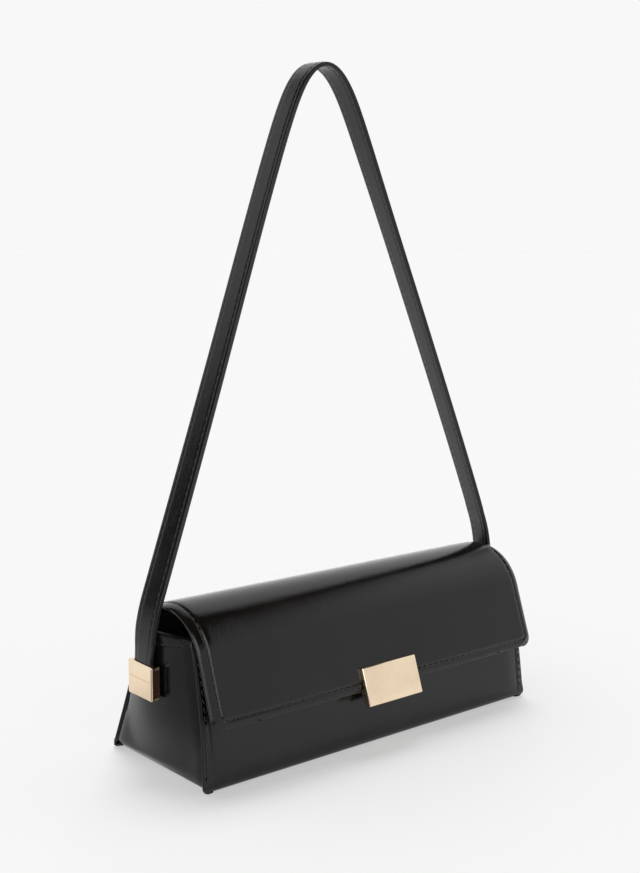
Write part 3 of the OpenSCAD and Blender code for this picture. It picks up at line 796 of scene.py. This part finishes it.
def flap_grids(line):
    """Lengths along the flap's line, and its grain and flesh points."""
    tail = [0, .12, .4, .8, 1.3, 1.9, 2.6, 3.2, 3.6, 3.9, 4.1, 4.3, 4.5, 4.7, 5, 5.4, 6, 6.8,
            7.8, 9, 11, 13.5]
    s = np.concatenate([np.arange(0, line.length - 15, 1.6), line.length - np.array(tail[::-1])])
    marks = [0, .3, .8, 1.4, 2.2, 3.1, 4, 4.6, 4.9, 5.2, 5.5, 5.8, 6.1, 6.5, 7, 7.8, 9, 10.5,
             12.5, 15]
    xs = from_edge(marks, FLAP_HALF, 4.0)
    outer, inner = [], []
    for at, n, here in zip(line.point(s), line.normal(s), s):
        h = line.length - here
        reach = float(flap_reach(h))
        x = narrowed(xs, FLAP_HALF - reach)
        edge = reach - np.abs(x)
        wave = FLAP_WAVE * np.sin(x / 37.0 + 1.3) * np.sin(here / 26.0)
        wave = wave * smooth(14, 40, edge) * smooth(25, 50, here)
        outer.append(off(x, at, n, flap_relief(edge, h, here) + wave))
        inner.append(off(x, at, n, -flap_thick(here)))
    return s, np.array(outer), np.array(inner)


def bend_with_flap(obj):
    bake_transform(obj)


def flap_shell(line):
    s, outer, inner = flap_grids(line)
    obj = tidy_normals(thick_sheet("flap_shell", outer, inner))
    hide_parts("flap_leather", "flap_board")
    bend_with_flap(obj)
    return obj, s


def sewn_path(total):
    """(x, length along the flap's line) of its sewn line, from the lap round to the lap."""
    r, left, low = CORNER_STITCH_R, FLAP_STITCH_IN - FLAP_HALF, total - FLAP_STITCH_UP
    half = [(left, here) for here in np.linspace(LAP + 4, low - r, 90)]
    for k in range(1, 8):
        a = math.pi / 2 * k / 8
        half.append((left + r * (1 - math.cos(a)), low - r + r * math.sin(a)))
    middle = [(x, low) for x in np.linspace(left + r, -(left + r), 130)]
    return half + middle + [(-x, here) for x, here in half[::-1]]


def flap_stitches(line):
    """The sewn line round the flap, and the one that holds its lap to the back."""
    path, normal = [], []
    for x, here in sewn_path(line.length):
        (y, z), (ny, nz) = line.point(here), line.normal(here)
        relief = flap_relief(FLAP_HALF - abs(x), line.length - here, here)
        sink = float(relief) + STITCH_PROUD
        path.append((x, y + ny * sink, z + nz * sink))
        normal.append((0, ny, nz))
    front = stitches("flap_stitches", [(path, normal)], *FLAP_STYLE)
    bend_with_flap(front)
    at, n = line.point(LAP_STITCH_UP), line.normal(LAP_STITCH_UP)
    x = np.linspace(-(FLAP_HALF - 4), FLAP_HALF - 4, 120)
    back = stitches("lap_stitches", [(off(x, at, n, SEWN_UP), np.tile([0, *n], (len(x), 1)))])
    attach(back, "bag")
    return front, back


def flap_lining(line, s):
    """The cloth under the flap, turned in short of the flap's edges."""
    s = s[(s > LAP + 3) & (s < line.length - 7.5)]
    half = FLAP_HALF - FLAP_CLOTH_IN
    xs = np.linspace(-half, half, 70)
    flesh, grain = [], []
    for at, n, here in zip(line.point(s), line.normal(s), s):
        deep = flap_thick(here) + 0.04
        flesh.append(off(xs, at, n, -deep))
        grain.append(off(xs, at, n, -(deep + FLAP_CLOTH_T)))
    grain = np.array(grain)
    obj = tidy_normals(thick_sheet("flap_cloth", grain, np.array(flesh)))
    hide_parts("flap_lining")
    bend_with_flap(obj)
    return obj


# ---- strap ----

def on_arc(centre, r, a):
    return centre + r * np.array([math.sin(a), -math.cos(a)])


def leg_points(top_x, leg):
    """One leg of the strap, from its slot up to the top of the loop."""
    start, lean, bend_r, bow, skew = leg
    block_top, tr = BLOCK_HI[2], STRAP_TOP_R
    a0 = math.radians(90 + lean)
    p0 = np.array([STRAP_X - start * math.tan(math.radians(lean)), block_top + start])
    c1 = on_arc(p0, -bend_r, a0)
    c2 = np.array([top_x, STRAP_TOP[1] - tr])
    d = c2 - c1
    a1 = math.atan2(d[1], d[0]) + math.asin((bend_r - tr) / np.linalg.norm(d))
    p1, p2 = on_arc(c1, bend_r, a1), on_arc(c2, tr, a1)
    pts = [np.array([STRAP_X, SLOT_Z]), np.array([STRAP_X, block_top])]
    pts += [on_arc(c1, bend_r, a) for a in np.linspace(a0, a1, 14)]
    for t in np.linspace(0, 1, 42)[1:-1]:
        p = p1 + (p2 - p1) * t
        p[0] += bow * 4 * t ** skew * (1 - t ** skew)
        pts.append(p)
    return pts + [on_arc(c2, tr, a) for a in np.linspace(a1, math.pi, 16)]


def eased(pts):
    """The same line with its upper bends spread out, as stiff leather takes them."""
    s = lengths(pts)
    p = along(np.arange(0, s[-1], 1.0), s, pts)
    reach = int(4 * STRAP_EASE)
    kernel = np.exp(-0.5 * (np.arange(-reach, reach + 1) / STRAP_EASE) ** 2)
    kernel /= kernel.sum()
    wide = np.pad(p, ((reach, reach), (0, 0)), mode="edge")
    soft = np.stack([np.convolve(wide[:, k], kernel, mode="valid") for k in (0, 1)], -1)
    return p + (soft - p) * smooth(*EASE_Z, p[:, 1])[:, None]


def strap_line():
    """(x, z) points of the strap's middle, from the left slot over the top to the right."""
    left = leg_points(-STRAP_TOP[0], LEFT_LEG)
    right = leg_points(STRAP_TOP[0], RIGHT_LEG)
    pts = [p * (-1, 1) for p in left] + right[-2::-1]
    keep = pts[:1]
    for p in pts[1:]:
        if np.linalg.norm(p - keep[-1]) > 0.05:
            keep.append(p)
    return Line(eased(np.array(keep)), left_normal=True)


def strap_turn(s, z, length):
    """How far the strap is turned about its own length, its outer face to the front."""
    left = TOP_TURN + (LEFT_TURN - TOP_TURN) * (1 - smooth(*LEFT_TURN_Z, z))
    right = TOP_TURN + (RIGHT_TURN - TOP_TURN) * (1 - smooth(*RIGHT_TURN_Z, z))
    mix = smooth(*TURN_MIX, s / length)
    low = smooth(BLOCK_HI[2], BLOCK_HI[2] + TURN_START, z)
    return np.radians((left * (1 - mix) + right * mix) * low)


def strap_section(sign):
    """Half of the strap's section: (across, out) points round one of its leathers."""
    half, edge, r = STRAP_W / 2, STRAP_EDGE_T / 2, STRAP_EDGE_R
    seam = half - STRAP_STITCH_IN
    ys = [half - r] + [seam + k for k in (1.3, 0.7, 0.3, 0, -0.3, -0.7, -1.4)] + [2.5]
    face = []
    for y in [-v for v in ys] + [0.0] + ys[::-1]:
        lift = edge + (STRAP_T / 2 - edge) * (1 - smooth(seam - 1.0, half, abs(y)))
        lift -= STRAP_GROOVE[0] * dent(abs(y), seam, STRAP_GROOVE[1])
        face.append((y, sign * lift))
    turn = [(half - r + r * math.cos(g), sign * (edge - r + r * math.sin(g)))
            for g in np.radians((60, 30, 0))]
    turn += [(half, sign * 0.16), (half - 0.12, sign * SEAM_GAP)]
    return face + turn + [(-y, v) for y, v in turn[::-1]]


def strap(line):
    """Both leathers of the strap and their stitches."""
    s = np.linspace(0, line.length, 320)
    p, n = line.point(s), line.normal(s)
    turn = strap_turn(s, p[:, 1], line.length)
    c, d = np.cos(turn)[:, None], np.sin(turn)[:, None]
    mid = np.insert(p, 1, 0, axis=1)
    flat_out, y_axis = np.insert(n, 1, 0, axis=1), np.array([0, 1.0, 0])
    across = c * y_axis + d * flat_out
    out = c * flat_out - d * y_axis
    made = []
    for sign, node in ((1, "strap_outer"), (-1, "strap_inner")):
        section = strap_section(sign)
        rings = [[m + a * y + o * v for y, v in section] for m, a, o in zip(mid, across, out)]
        obj = sweep(node + "_skin", rings)
        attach(obj, "strap")
        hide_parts(node)
        made.append(obj)
    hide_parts("strap_core")
    rows = []
    inside = (s > UNSEWN) & (s < line.length - UNSEWN)
    for face in (1, -1):
        for edge in (-1, 1):
            at = (mid + out * face * (STRAP_T / 2 - STRAP_STITCH_DEEP)
                  + across * edge * (STRAP_W / 2 - STRAP_STITCH_IN))
            rows.append((at[inside], (out * face)[inside]))
    thread = stitches("strap_stitches", rows, *STRAP_STYLE)
    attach(thread, "strap")
    return made, thread


# ---- metal ----

def rounded_box(name, size, width, segments):
    """A box with rounded edges, centred on the origin, size in millimetres."""
    bm = bmesh.new()
    bmesh.ops.create_cube(bm, size=1.0)
    for v in bm.verts:
        v.co = Vector([c * k * MM for c, k in zip(v.co, size)])
    bmesh.ops.bevel(bm, geom=bm.edges[:], offset=width * MM, segments=segments,
                    profile=0.5, affect="EDGES")
    mesh = bpy.data.meshes.new(name)
    bm.to_mesh(mesh)
    bm.free()
    return linked(name, mesh)


def modified(obj, kind, **values):
    """Gives an object a modifier and turns it into the mesh."""
    given(obj.modifiers.new(kind, kind), **values)
    bpy.context.view_layer.update()
    dg = bpy.context.evaluated_depsgraph_get()
    mesh = bpy.data.meshes.new_from_object(obj.evaluated_get(dg))
    obj.modifiers.clear()
    obj.data = mesh


def place(obj, centre, axes=((1, 0, 0), (0, 1, 0), (0, 0, 1))):
    """Moves a mesh to its place, so the object itself stays at the origin."""
    rows = [[*(a[i] for a in axes), centre[i] * MM] for i in range(3)]
    obj.data.transform(Matrix(rows + [[0, 0, 0, 1]]))
    return obj


def cut(obj, centre, *box):
    """Takes a rounded box out of an object."""
    cutter = place(rounded_box("cutter", *box), centre)
    modified(obj, "BOOLEAN", operation="DIFFERENCE", solver="EXACT", object=cutter)
    bpy.data.objects.remove(cutter)


def side_block(label, side):
    """A block's metal, slotted for the strap, grooved, and hollow at both ends."""
    lo, hi = cad_box(label + "_block")
    size, centre = hi - lo, (lo + hi) / 2
    room = size[0] - HOLLOW_OUT - HOLLOW_IN, 2 * HOLLOW_D, size[2] - 2 * HOLLOW_END
    room_x = side * (HOLLOW_IN - HOLLOW_OUT) / 2
    obj = rounded_box(label + "_block_body", size, BLOCK_R, 4)
    cut(obj, (0, 0, size[2] / 2), SLOT_SIZE, 0.25, 2)
    cut(obj, (side * size[0] / 2, 0, PIVOT[1] + GROOVE_UP - centre[2]),
        (GROOVE_DEEP, size[1] + 4, GROOVE_W), 0.12, 1)
    for end in (-1, 1):
        cut(obj, (room_x, end * size[1] / 2, 0), room, 0.3, 2)
    modified(obj, "BEVEL", width=BLOCK_SOFT * MM, segments=2, limit_method="ANGLE",
             angle_limit=math.radians(55))
    shade(obj.data, METAL_SHARP)
    modified(obj, "WEIGHTED_NORMAL", keep_sharp=True, weight=100)
    place(obj, centre)
    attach(obj, "strap")
    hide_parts(label + "_block")
    deep = HOLLOW_D - FILL_IN + 0.1
    fills = []
    for end, where in ((-1, "front"), (1, "rear")):
        fill = rounded_box(f"{label}_fill_{where}", (room[0] - 0.1, deep, room[2] - 0.1), 0.35, 3)
        place(fill, centre + np.array([room_x, end * (size[1] / 2 - FILL_IN - deep / 2), 0]))
        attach(fill, "strap")
        fills.append(fill)
    return obj, fills


def lock_plate():
    obj = rounded_box("plate", PLATE_SIZE, 0.75, 3)
    shade(obj.data, METAL_SHARP)
    mid = FLAP_EDGE + FACE_UP * PLATE_RISE + FACE_OUT * (PLATE_SIZE[2] / 2 + 0.02)
    place(obj, (0, *mid), ((1, 0, 0), (0, *FACE_UP), (0, *FACE_OUT)))
    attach(obj, "flap")
    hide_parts("lock_plate")
    return obj


# ---- materials ----

class Nodes:
    """Short calls for building a node tree."""

    def __init__(self, tree):
        self.tree = tree

    def put(self, socket, value):
        """Gives an input a value, a colour or another node's output."""
        if isinstance(value, bpy.types.NodeSocket):
            self.tree.links.new(value, socket)
        else:
            socket.default_value = (*value, 1) if socket.type == "RGBA" else value

    def node(self, kind, inputs=(), **values):
        """The outputs of a new node with these inputs and settings."""
        made = given(self.tree.nodes.new("ShaderNode" + kind), **values)
        for key, value in dict(inputs).items():
            self.put(made.inputs[key], value)
        return made.outputs

    def math(self, op, *values):
        return self.node("Math", dict(enumerate(values)), operation=op)[0]

    def ramp(self, value, lo, hi, a, b, kind="LINEAR"):
        ends = {"Value": value, "From Min": lo, "From Max": hi, "To Min": a, "To Max": b}
        return self.node("MapRange", ends, interpolation_type=kind)["Result"]

    def step(self, value, ends, a, b):
        return self.ramp(value, *ends, a, b, "SMOOTHSTEP")


class Surface(Nodes):
    """The nodes of one material."""

    def __init__(self, name):
        self.mat = bpy.data.materials.new(name)
        self.mat.use_nodes = True
        super().__init__(self.mat.node_tree)
        self.shader = self.tree.nodes["Principled BSDF"]
        self.coord = self.node("TexCoord")["Object"]

    def set(self, **values):
        for key, value in values.items():
            self.put(self.shader.inputs[key.replace("_", " ")], value)

    def noise(self, scale, detail=3.0, rough=0.55, stretch=None):
        at = self.coord
        if stretch:
            at = self.node("Mapping", {"Vector": at, "Scale": stretch})["Vector"]
        return self.node("TexNoise", {"Vector": at, "Scale": scale, "Detail": detail,
                                      "Roughness": rough})["Fac"]

    def mix(self, fac, a, b):
        return self.node("Mix", {0: fac, 6: a, 7: b}, data_type="RGBA")[2]

    def blend(self, fac, a, b):
        return self.node("MixShader", {0: fac, 1: a, 2: b})[0]

    def bump(self, *layers):
        """Layers of (height, depth in metres), one on the other."""
        under = {}
        for height, depth in layers:
            made = self.node("Bump", {"Strength": 1.0, "Distance": depth, "Height": height,
                                      **under})
            under = {"Normal": made["Normal"]}
        return under["Normal"]

    def sharp_edge_tone(self, lo=0.52, hi=0.62):
        """1 at sharp edges, by their pointiness."""
        return self.ramp(self.node("NewGeometry")["Pointiness"], lo, hi, 0.0, 1.0)


def leather(name, dark, light, sharp_edge_tone, rough):
    """Polished calf: fine pores, soft creases, a slightly uneven shine and lighter sharp edges."""
    n = Surface(name)
    cloud = n.noise(26.0)
    crease = n.noise(210.0, 4.0, 0.5, (1.0, 1.0, 2.2))
    grain = n.node("TexVoronoi", {"Vector": n.coord, "Scale": 1500.0})["Distance"]
    pores = n.noise(2600.0, 2.0, 0.5)
    tone = n.mix(n.ramp(cloud, 0.35, 0.65, 0, 1), dark, light)
    uneven = n.math("ADD", cloud, n.math("MULTIPLY", crease, 0.6))
    # Sharp edges, found by pointiness, are mixed towards a lighter colour.
    n.set(Base_Color=n.mix(n.sharp_edge_tone(), tone, sharp_edge_tone),
          Roughness=n.ramp(uneven, 0.55, 1.05, rough - 0.04, rough + 0.07), IOR=1.42,
          Normal=n.bump((crease, 0.00007), (grain, 0.000035), (pores, 0.000018)))
    return n.mat


def thread_material(name, dark, light):
    """Waxed thread: twisted plies and a dull shine."""
    n = Surface(name)
    twist = n.noise(5200.0, 2.0, 0.5, (1.0, 0.35, 1.0))
    n.set(Base_Color=n.mix(n.ramp(n.noise(900.0), 0.3, 0.7, 0, 1), dark, light),
          Roughness=n.ramp(twist, 0.3, 0.7, 0.34, 0.52), IOR=1.5, Sheen_Weight=0.1,
          Normal=n.bump((twist, 0.00006)))
    return n.mat


def lining_material(name, dark, light):
    """Dark twill with a fine diagonal rib."""
    n = Surface(name)
    at = n.node("Mapping", {"Vector": n.coord, "Rotation": (0.6, 0.5, 0.7)})["Vector"]
    rib = n.node("TexWave", {"Vector": at, "Scale": 420.0, "Distortion": 0.6, "Detail": 1.0},
                 wave_type="BANDS", bands_direction="X")["Fac"]
    fuzz = n.noise(1800.0, 2.0)
    n.set(Base_Color=n.mix(n.math("MULTIPLY", rib, fuzz), dark, light),
          Roughness=n.ramp(n.noise(60.0), 0.3, 0.7, 0.72, 0.88), IOR=1.4,
          Sheen_Weight=0.25, Sheen_Roughness=0.5, Normal=n.bump((rib, 0.00010), (fuzz, 0.00006)))
    return n.mat


def metal(name, dark, light, rough=0.16):
    """Plated metal: faint buffing lines, small smears, paler sharp edges."""
    n = Surface(name)
    buff = n.noise(3800.0, 2.0, 0.5, (0.08, 1.0, 1.0))
    smear = n.noise(55.0)
    tone = n.mix(n.ramp(smear, 0.35, 0.65, 0, 1), dark, light)
    pale = tuple(min(1.0, c * 1.06) for c in light)
    uneven = n.math("ADD", smear, n.math("MULTIPLY", buff, 0.3))
    # Sharp edges, found by pointiness, are mixed towards a paler colour.
    n.set(Base_Color=n.mix(n.sharp_edge_tone(0.53, 0.66), tone, pale), Metallic=1.0, IOR=1.5,
          Roughness=n.ramp(uneven, 0.45, 0.85, rough - 0.04, rough + 0.05),
          Normal=n.bump((buff, 0.0000035)))
    return n.mat


def floor_material():
    """Pale floor that camera and gloss see nearly white, with the object's shadow and a painted
    shade at its left corner that only gloss sees.
    """
    n = Surface("pale_floor")
    n.set(Base_Color=FLOOR_COLOUR, Roughness=1.0, Specular_IOR_Level=0.0)
    rays = n.node("LightPath")
    glossy = rays["Is Glossy Ray"]
    seen = n.math("MAXIMUM", n.math("MAXIMUM", rays["Is Camera Ray"], glossy),
                  rays["Is Transmission Ray"])
    soft = n.node("BsdfDiffuse", {"Color": (FLOOR_SHADE,) * 3})[0]
    glow = n.node("Emission", {"Color": BACKDROP, "Strength": FLOOR_GLOW})[0]
    both = n.node("AddShader", {0: soft, 1: glow})[0]
    # Painted shade: gloss sees the floor's left corner blended towards black, which darkens its
    # reflection in the bag.
    where = n.node("SeparateXYZ", {0: n.node("NewGeometry")["Position"]})
    left = n.math("SUBTRACT", CORNER_X, where["X"])
    back = n.math("SUBTRACT", where["Y"], n.math("MULTIPLY", left, CORNER_SLOPE))
    low = n.math("MULTIPLY", n.ramp(left, *CORNER_SIDE, 0, 1), n.ramp(back, *CORNER_BACK, 1, 0))
    painted_shade_amount = n.math("MULTIPLY", n.math("MULTIPLY", low, glossy), CORNER_PAINTED_SHADE)
    painted_shade_bsdf = n.node("BsdfDiffuse", {"Color": (0.01,) * 3})[0]
    shown = n.blend(seen, n.shader.outputs[0], n.blend(painted_shade_amount, both, painted_shade_bsdf))
    out = next(x for x in n.tree.nodes if x.type == "OUTPUT_MATERIAL")
    n.put(out.inputs["Surface"], shown)
    return n.mat


# ---- studio ----

def camera():
    a, e, r = np.radians((CAM_AZ, CAM_EL, CAM_ROLL))
    back = np.array([math.sin(a) * math.cos(e), -math.cos(a) * math.cos(e), math.sin(e)])
    right = unit(np.cross([0, 0, 1], back))
    up = np.cross(back, right)
    right, up = right * math.cos(r) + up * math.sin(r), -right * math.sin(r) + up * math.cos(r)
    spot = (right * CAM_SIDE + up * CAM_RISE + back * CAM_DIST) * MM
    data = given(bpy.data.cameras.new("camera"), lens=LENS, sensor_width=SENSOR, clip_start=0.02)
    turned = Matrix([*zip(right, up, back, spot), (0, 0, 0, 1)])
    bpy.context.scene.camera = given(linked("camera", data), matrix_world=turned)


def overhead(n, way, glossy):
    """Light by direction: pale behind, a dark gap overhead, soft and broad in front."""
    x, y, z = n.node("SeparateXYZ", {0: way})
    turn = n.math("MULTIPLY", n.math("ARCTAN2", z, y), 180 / math.pi)
    aside = n.node("Clamp", dict(enumerate((n.math("ABSOLUTE", x), *ASIDE))))[0]
    start = n.math("MAXIMUM", n.math("SUBTRACT", aside, START_ASIDE), 0.0)
    near = n.math("MULTIPLY_ADD", start, START_SPREAD, turn)
    far = n.math("MULTIPLY_ADD", n.math("SUBTRACT", aside, END_ASIDE), END_SPREAD, turn)
    left = n.math("MULTIPLY", n.step(x, GAP_LEFT, GAP_LEFT_LOW, 0.0), glossy)
    behind = n.step(n.math("ADD", near, left), GAP_START, 1.0, 0.0)
    front = n.math("MULTIPLY", n.step(far, GAP_END, 0.0, 1.0),
                   n.step(turn, FRONT_TURN, *FRONT_LIGHT))
    front = n.math("MULTIPLY", n.math("SUBTRACT", 1.0, behind), front)
    level = n.math("MAXIMUM", n.math("MAXIMUM", behind, front), GAP_LEVEL)
    return n.math("MAXIMUM", level, n.math("LESS_THAN", z, 0.0))


def world():
    """The studio in the gloss, with a bright pane at the left, and plain to the camera."""
    w = bpy.data.worlds.new("studio")
    bpy.context.scene.world = w
    w.use_nodes = True
    n = Nodes(w.node_tree)
    way, rays = n.node("TexCoord")["Generated"], n.node("LightPath")
    glossy = rays["Is Glossy Ray"]
    facing = n.node("VectorMath", {0: way, 1: WINDOW}, operation="DOT_PRODUCT")["Value"]
    pane = n.math("MULTIPLY", n.step(facing, WINDOW_EDGE, 0.0, WINDOW_LEVEL), glossy)
    level = n.math("MAXIMUM", overhead(n, way, glossy), pane)
    level = n.math("MULTIPLY_ADD", n.math("SUBTRACT", 1.0, level), rays["Is Camera Ray"], level)
    tint = n.node("VectorMath", {0: BACKDROP, "Scale": level}, operation="SCALE")[0]
    n.put(n.tree.nodes["Background"].inputs["Color"], tint)


def sun():
    """The lamp that casts the floor's shadow, unseen in the gloss."""
    data = given(bpy.data.lights.new("key", "SUN"), energy=SUN_LEVEL,
                 angle=math.radians(SUN_SPREAD))
    turned = (-Vector(SUN_FROM)).to_track_quat("-Z", "Y").to_euler()
    given(linked("key", data), visible_glossy=False, location=SUN_FROM, rotation_euler=turned)


def floor():
    far = FLOOR_SIZE / MM
    corners = [(-far, -far, 0), (far, -far, 0), (far, far, 0), (-far, far, 0)]
    obj = make_mesh("floor", corners, [(0, 1, 2, 3)])
    obj.location.z = FLOOR_Z
    obj.data.materials.append(floor_material())


# ---- build ----

def dress(obj, mat):
    if not obj.material_slots:
        obj.data.materials.append(mat)
    for s in obj.material_slots:
        s.link = "OBJECT"
        s.material = mat


bpy.context.scene.view_settings.view_transform = "Standard"
camera()
world()
floor()
sun()

walls, threads, cloths, fills = [body_shell()], [body_stitches()], [body_lining()], []
for side, label in ((-1, "left"), (1, "right")):
    g, g_outer, g_inner = gusset(side, label)
    rim, rim_thread = rim_binding(label, g_outer, g_inner)
    walls += [g, rim]
    threads.append(rim_thread)
    cloths.append(gusset_lining(side, label, g_inner))
flap_path = flap_line()
flap, flap_s = flap_shell(flap_path)
threads += flap_stitches(flap_path)
cloths.append(flap_lining(flap_path, flap_s))
skins, strap_thread = strap(strap_line())
threads.append(strap_thread)
gilt = []
for side, label in ((-1, "left"), (1, "right")):
    block, block_fills = side_block(label, side)
    gilt.append(block)
    fills += block_fills
gilt.append(lock_plate())

# The third colour of each leather is the one its sharp edges are mixed towards.
wall_mat = leather("wall_leather_mat", (0.0045, 0.0048, 0.005), (0.0075, 0.0079, 0.0081),
                   (0.03,) * 3, 0.13)
flap_mat = leather("flap_leather_mat", (0.0055, 0.0046, 0.0042), (0.0085, 0.007, 0.0063),
                   (0.032, 0.028, 0.026), 0.085)
strap_mat = leather("strap_leather_mat", (0.0055, 0.0052, 0.005), (0.009, 0.0084, 0.008),
                    (0.032, 0.030, 0.028), 0.17)
edge_mat = leather("edge_paint", (0.016, 0.006, 0.003), (0.024, 0.009, 0.005),
                   (0.05, 0.02, 0.012), 0.30)
thread_mat = thread_material("black_thread", (0.012, 0.0115, 0.011), (0.03, 0.028, 0.027))
cloth_mat = lining_material("lining_twill", (0.010, 0.010, 0.011), (0.040, 0.038, 0.037))
gold = metal("pale_gold", (0.87, 0.69, 0.49), (0.94, 0.77, 0.565))
steel = metal("nickel", (0.52, 0.51, 0.50), (0.62, 0.61, 0.60), 0.24)
dull = metal("magnet_nickel", (0.40, 0.40, 0.41), (0.48, 0.48, 0.49), 0.34)

for group, mat in ((walls, wall_mat), ([flap], flap_mat), (skins, strap_mat), (fills, edge_mat),
                   (threads, thread_mat), (cloths, cloth_mat), (gilt, gold)):
    for obj in group:
        dress(obj, mat)
for nodes, mat in (("keeper lock_body lock_screws pivot_studs strap_rivets", gold),
                   ("backing_plates keeper_washer", steel), ("keeper_magnet lock_magnet", dull)):
    for node in nodes.split():
        dress(frame["nodes"][node], mat)
